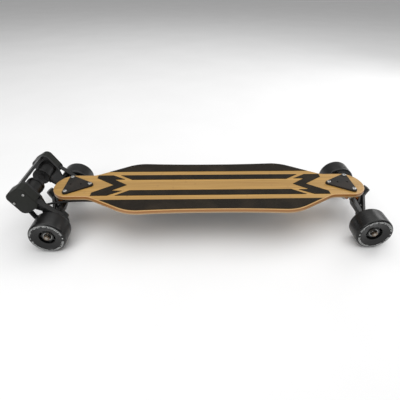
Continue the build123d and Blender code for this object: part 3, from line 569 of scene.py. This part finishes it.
def make_piece(name, shells, looks, sharp=35):
    """One mesh from several shells: each is its points, its faces and the number of its look."""
    points, faces, numbers = [], [], []
    for shell_points, shell_faces, number in shells:
        start = len(points)
        points += shell_points
        faces += [tuple(start + corner for corner in face) for face in shell_faces]
        numbers += [number] * len(shell_faces)
    mesh = bpy.data.meshes.new(name)
    mesh.from_pydata(points, [], faces)
    for look in looks:
        mesh.materials.append(look)
    mesh.polygons.foreach_set("material_index", numbers)
    mesh.polygons.foreach_set("use_smooth", [True] * len(faces))
    mesh.set_sharp_from_angle(angle=radians(sharp))
    piece = bpy.data.objects.new(name, mesh)
    bpy.context.scene.collection.objects.link(piece)
    return piece


# ---------------------------------------------------------------- motor cables
def motor_point(direction, out, y):
    """Point at a distance from the motors' axis."""
    return (MOTOR_AXIS.x + direction[0] * out, y, MOTOR_AXIS.z + direction[1] * out)


def deck_point(x, y, z):
    """Point with its X measured from the deck's middle."""
    return (DECK_MID.x + x, y, z)


def route_line(points):
    """Fine points along the NURBS spline of a route."""
    curve = bpy.data.curves.new("route", "CURVE")
    curve.dimensions = "3D"
    spline = curve.splines.new("NURBS")
    spline.points.add(len(points) - 1)
    for knot, place in zip(spline.points, points):
        knot.co = (*place, 1)
    spline.order_u = 3
    spline.use_endpoint_u = True
    spline.resolution_u = 40
    holder = bpy.data.objects.new("route", curve)
    mesh = bpy.data.meshes.new_from_object(holder)
    line = [vertex.co.copy() for vertex in mesh.vertices]
    bpy.data.meshes.remove(mesh)
    bpy.data.objects.remove(holder)
    bpy.data.curves.remove(curve)
    return line


def braided_rings(line, radius, sides=40, strands=5):
    """Rings along a line with a braid's crossed ridges, and smooth shrink sleeves at both ends."""
    lengths = [0.0]
    for before, here in zip(line, line[1:]):
        lengths.append(lengths[-1] + (here - before).length)
    rings = []
    across = (line[1] - line[0]).orthogonal().normalized()
    for number, here in enumerate(line):
        before, after = line[max(number - 1, 0)], line[min(number + 1, len(line) - 1)]
        along = (after - before).normalized()
        across = (across - along * across.dot(along)).normalized()
        other = along.cross(across)
        from_end = min(lengths[number], lengths[-1] - lengths[number])
        twist = lengths[number] / (radius * 1.4)
        ring = []
        for i in range(sides):
            angle = 2 * pi * i / sides
            braid = sin(strands * (angle + twist)) * sin(strands * (angle - twist))
            out = radius - BRAID_SINK + BRAID_DEPTH * braid
            if SLEEVE_FROM < from_end < SLEEVE_TO:
                out = radius + SLEEVE_WALL
            ring.append(here + out * (cos(angle) * across + sin(angle) * other))
        rings.append(ring)
    return rings


def cable(side, points):
    """Motor cable in two lengths, split at a point behind the deck's middle."""
    line = route_line(points)
    rings = braided_rings(line, CABLE_R[side])
    join = min(
        range(len(line)), key=lambda number: abs(line[number].x - DECK_MID.x + CABLE_JOIN)
    )
    spans = (
        ("front", rings[: join + 1], "deck", "rear_link", *INNER_BEND),
        ("rear", rings[join:], "rear_link", "rear_hanger", *OUTER_BEND[side]),
    )
    pieces = []
    for part, share, before, after, start, end in spans:
        piece = make_piece(
            f"{side}_motor_cable_{part}", [(*skin(share), 0)], [braid_black]
        )
        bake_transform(piece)
        pieces.append(piece)
    return pieces


left_route = [
    deck_point(-0.227, 0.046, 0.074), deck_point(-0.258, 0.046, 0.074),
    deck_point(-0.292, 0.047, 0.080), deck_point(-0.326, 0.0475, 0.0815),
    deck_point(-0.362, 0.0475, 0.0795), deck_point(-0.390, 0.0465, 0.0765),
    deck_point(-0.413, 0.040, 0.0755),
    motor_point((SLANT, -SLANT), 0.0423, 0.030), motor_point((SLANT, -SLANT), 0.0236, 0.030),
]
right_route = [
    deck_point(-0.227, -0.046, 0.074), deck_point(-0.258, -0.046, 0.074),
    deck_point(-0.292, -0.047, 0.083), deck_point(-0.330, -0.048, 0.086),
    deck_point(-0.366, -0.048, 0.0855), deck_point(-0.400, -0.049, 0.0818),
    deck_point(-0.424, -0.050, 0.078), deck_point(-0.443, -0.051, 0.072),
    motor_point((0, -1), 0.0383, -0.052), motor_point((0, -1), 0.0216, -0.052),
]
cables = cable("left", left_route) + cable("right", right_route)
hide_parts("motor_cables")


# ---------------------------------------------------------------- belts
def free_run(first, last):
    """Belt stations between the ends of two wraps, with rounded teeth away from the pulleys."""
    length = (last[0] - first[0]).length
    stations = []
    for step in range(1, RUN_STEPS):
        along = step / RUN_STEPS * length
        wave = 0.5 + 0.5 * cos(2 * pi * along / BELT_PITCH)
        toothed = min(along, length - along) > TOOTHLESS_END
        depth = TOOTH_DEPTH * min(1.0, 1.6 * wave**2) if toothed else 0.0
        stations.append((first[0].lerp(last[0], step / RUN_STEPS), first[1], depth))
    return stations


def belt_path(wheel):
    """Stations round both pulleys: place on the inner face, outward direction, tooth depth."""
    big, small = (
        teeth * BELT_PITCH / (2 * pi) - BELT_INSET for teeth in (WHEEL_TEETH, MOTOR_TEETH)
    )
    run_x, run_z = MOTOR_AXIS.x - wheel.x, MOTOR_AXIS.z - wheel.z
    apart = (run_x**2 + run_z**2) ** 0.5
    lean = atan2(run_z, run_x)
    open_angle = acos((big - small) / apart)
    wraps = []
    for centre, radius, start, turn in (
        (wheel, big, lean + open_angle, 2 * pi - 2 * open_angle),
        (MOTOR_AXIS, small, lean - open_angle, 2 * open_angle),
    ):
        wrap = []
        for number in range(WRAP_STEPS + 1):
            angle = start + turn * number / WRAP_STEPS
            normal = Vector((cos(angle), 0, sin(angle)))
            wrap.append((Vector((centre.x, 0, centre.z)) + radius * normal, normal, 0.0))
        wraps.append(wrap)
    round_wheel, round_motor = wraps
    return (
        round_wheel + free_run(round_wheel[-1], round_motor[0])
        + round_motor + free_run(round_motor[-1], round_wheel[0])
    )


def belt(side):
    """Toothed belt: a flat back, and rounded teeth inside wherever it runs free of the pulleys."""
    sign = SIDES[side]
    near, far, inward = sign * BELT_NEAR, sign * BELT_FAR, sign * BELT_CHAMFER
    back, shoulder = BELT_THICKNESS, BELT_THICKNESS - BELT_CHAMFER
    rings = []
    for place, normal, depth in belt_path(WHEEL_CENTRES[("rear", side)]):
        corners = [
            (-depth, near), (-depth, far), (shoulder, far), (back, far - inward),
            (back, near + inward), (shoulder, near),
        ]
        rings.append([place + out * normal + Vector((0, y, 0)) for out, y in corners])
    shell = (*skin(rings, closed=True), 0)
    piece = make_piece(f"{side}_toothed_belt", [shell], [belt_rubber])
    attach(piece, "rear_hanger")
    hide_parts(f"{side}_belt")


for side in SIDES:
    belt(side)


# ---------------------------------------------------------------- tyres
def tyre(end, side):
    """Finely turned tyre on the CAD section: rounded tread corners, a print band, a dished face."""
    centre = WHEEL_CENTRES[(end, side)]
    sign = SIDES[side]
    rim = [(0.034, 0.0008), (0.0346, 0.0002), (0.0355, 0.0)]
    corner = [
        (WHEEL_R - TREAD_FILLET * (1 - sin(radians(a))), TREAD_FILLET * (1 - cos(radians(a))))
        for a in range(0, 91, 9)
    ]
    section = [(OPENING_R, CORE_IN), (OPENING_R, DISH_IN)] + rim + corner
    section += [(r, WHEEL_WIDTH - depth) for r, depth in reversed(rim + corner)]
    section += [
        (OPENING_R, WHEEL_WIDTH - DISH_OUT), (OPENING_R, CORE_OUT), (CORE_R, CORE_OUT),
        (CORE_R, CORE_IN),
    ]
    inner_face = abs(centre.y) - WHEEL_WIDTH / 2
    segments = 160
    rings = []
    for number in range(segments):
        angle = 2 * pi * number / segments
        rings.append([
            Vector((
                centre.x + r * cos(angle), sign * (inner_face + depth), centre.z + r * sin(angle)
            ))
            for r, depth in section
        ])
    name = f"{end}_{side}"
    look = tyre_look(f"{name}_urethane", centre, sign)
    shell = (*skin(rings, closed=True), 0)
    piece = make_piece(f"{name}_turned_tyre", [shell], [look], sharp=28)
    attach(piece, f"{name}_wheel")
    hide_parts(f"{name}_tyre")


for end, side in WHEEL_CENTRES:
    tyre(end, side)


# ---------------------------------------------------------------- motor ends and button bezel
def socket_screw(radius, height, place, axis):
    """Button head with a hexagon socket."""
    profile = [
        (radius, 0.0), (radius, 0.45 * height), (0.93 * radius, 0.75 * height),
        (0.72 * radius, height), (0.52 * radius, height, True),
        (0.48 * radius, 0.35 * height, True),
    ]
    return turned(profile, place, axis)


def motor_end(side):
    """Bearing boss and four screws on a motor's inner end."""
    sign = SIDES[side]
    low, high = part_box(f"{side}_motor_housing")
    face = low.y if sign > 0 else high.y
    inward = (0, -sign, 0)
    boss = [(0.0098, 0.0), (0.0098, 0.0011), (0.0092, 0.0016), (0.0060, 0.0016), (0.0055, 0.0004)]
    shells = [(*turned(boss, (MOTOR_AXIS.x, face, MOTOR_AXIS.z), inward, 40), 0)]
    for quarter in range(4):
        angle = pi / 4 + quarter * pi / 2
        out = (cos(angle), sin(angle))
        spot = motor_point(out, MOTOR_SCREW_CIRCLE_R, face)
        shells.append((*socket_screw(0.0022, 0.0014, spot, inward), 1))
    piece = make_piece(
        f"{side}_motor_end_fittings", shells, [motor_can, pulley_black]
    )
    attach(piece, "rear_hanger")


def button_bezel():
    """Steel ring round the power button."""
    button = middle("power_button")
    profile = [
        (0.0064, 0.0), (0.0064, 0.0006), (0.0070, 0.0010), (0.0080, 0.0009), (0.0086, 0.0003),
        (0.0087, 0.0),
    ]
    shell = (*turned(profile, (button.x, BUTTON_WALL_Y, button.z), (0, -1, 0), 48), 0)
    piece = make_piece("power_button_bezel", [shell], [bright_steel])
    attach(piece, "deck")


for side in SIDES:
    motor_end(side)
button_bezel()


# ---------------------------------------------------------------- floor, light and camera
def floor():
    """Wide pale floor under the wheels."""
    look = Look("pale_floor", rough=0.85)
    patches = look.spread(look.noise(3, 3), 0.3, 0.7)
    look.color(look.blend(patches, (0.90, 0.90, 0.90), (0.93, 0.93, 0.93)))
    half = 8.0
    corners = [(-half, -half, 0), (half, -half, 0), (half, half, 0), (-half, half, 0)]
    mesh = bpy.data.meshes.new("floor")
    mesh.from_pydata(corners, [], [(0, 1, 2, 3)])
    mesh.materials.append(look.mat)
    plane = bpy.data.objects.new("floor", mesh)
    bpy.context.scene.collection.objects.link(plane)


def softbox(name, place, target, size, power):
    """Round area light aimed at a target; its diameter in metres and its power in watts."""
    light = bpy.data.lights.new(name, "AREA")
    light.shape = "DISK"
    light.size = size
    light.energy = power
    lamp = bpy.data.objects.new(name, light)
    lamp.location = place
    lamp.rotation_euler = (Vector(target) - Vector(place)).to_track_quat("-Z", "Y").to_euler()
    bpy.context.scene.collection.objects.link(lamp)


def surround(strength):
    """Even white light from all round."""
    world = bpy.data.worlds.new("studio")
    world.use_nodes = True
    background = world.node_tree.nodes["Background"]
    background.inputs["Color"].default_value = (1, 1, 1, 1)
    background.inputs["Strength"].default_value = strength
    bpy.context.scene.world = world


def camera():
    """Camera in front of the board's right side, a little to the tail, looking down."""
    pitch, yaw, roll = 0.6259, 0.0310, 0.0089
    forward = Vector((sin(yaw) * cos(pitch), cos(yaw) * cos(pitch), -sin(pitch)))
    level = Vector((cos(yaw), -sin(yaw), 0))
    above = level.cross(forward)
    right = cos(roll) * level + sin(roll) * above
    up = -sin(roll) * level + cos(roll) * above
    data = bpy.data.cameras.new("camera")
    data.sensor_width = 36
    data.lens = 28.77
    view = bpy.data.objects.new("camera", data)
    turn = Matrix((right, up, -forward)).transposed()
    place = Vector((DECK_MID.x - 0.0505, -0.7295, DECK_HIGH.z + 0.4755))
    view.matrix_world = Matrix.Translation(place) @ turn.to_4x4()
    bpy.context.scene.collection.objects.link(view)
    bpy.context.scene.camera = view


floor()
softbox("overhead", (0.1, 0.2, 3.0), (0, 0, 0), 5.0, 85)
softbox("front_left", (-1.3, -1.5, 1.3), (0, 0, 0.05), 1.4, 12)
softbox("back_right", (1.7, 1.0, 1.1), (0.2, 0, 0.05), 1.0, 9)
surround(0.36)
bpy.context.scene.view_settings.view_transform = "Standard"
camera()
